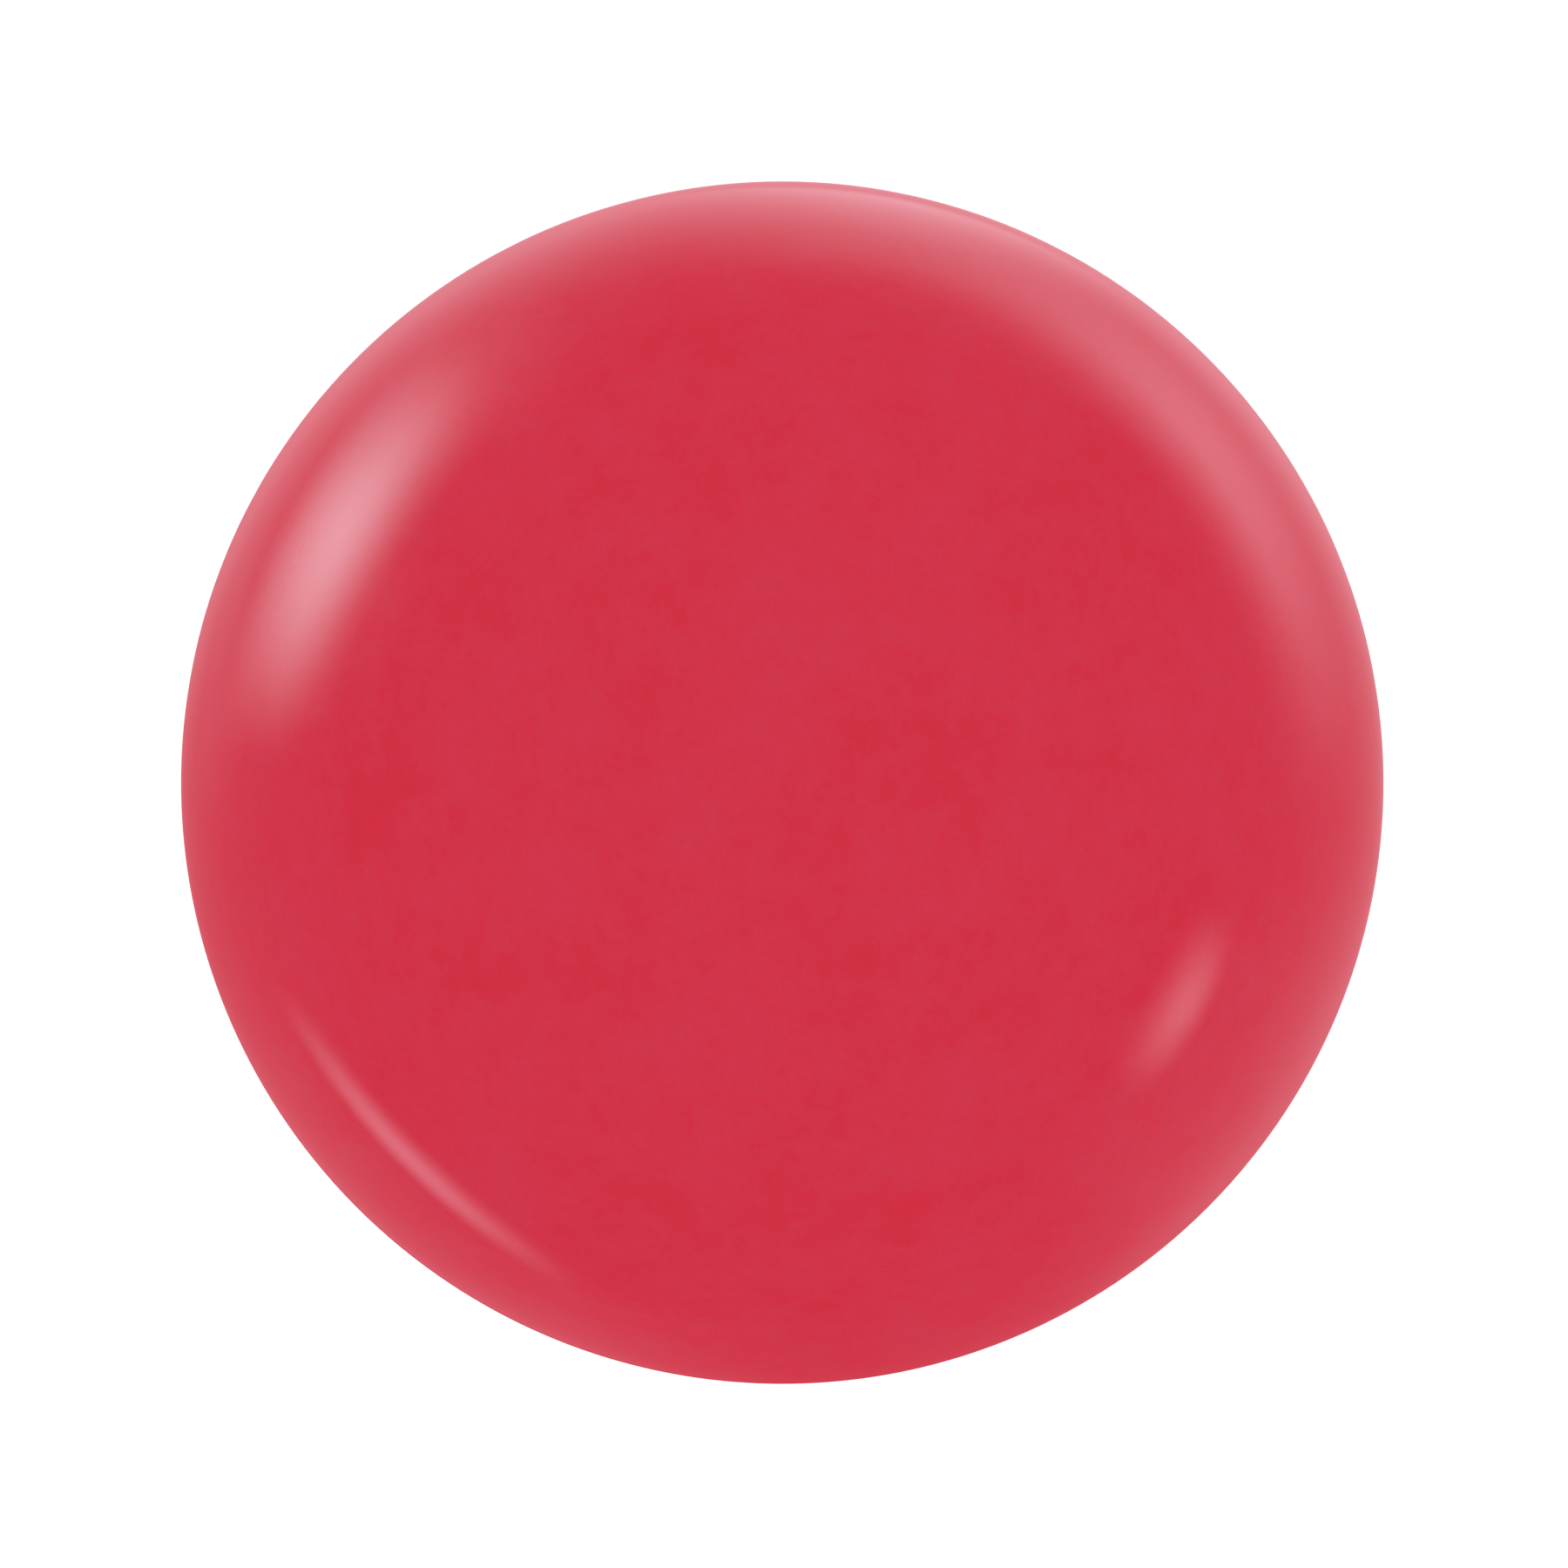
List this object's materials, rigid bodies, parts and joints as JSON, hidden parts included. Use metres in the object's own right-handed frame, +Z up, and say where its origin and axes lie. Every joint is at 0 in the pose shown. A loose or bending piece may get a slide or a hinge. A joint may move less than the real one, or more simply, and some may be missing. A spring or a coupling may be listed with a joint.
{
  "type": "croquet ball",
  "caption": "Full-size croquet ball: two moulded plastic cups lap-jointed and cemented over a cork-and-rubber core, ground flush and polished.",
  "frame": {"origin": "the ball's centre", "axes": "+Z up; +Y along the common axis of the two cups, from the front cup to the rear cup, so that their joint lies in the XZ plane"},
  "size_m": [0.092, 0.092, 0.092],
  "materials": {
    "shell_plastic": "polished",
    "core_composition": "matte",
    "core_adhesive": "satin",
    "seam_cement": "satin"
  },
  "bodies": {
    "root": {"core": "core_composition", "front_core_bond": "core_adhesive", "rear_core_bond": "core_adhesive", "front_shell": "shell_plastic", "rear_shell": "shell_plastic", "seam_cement": "seam_cement"}
  },
  "joints": []
}
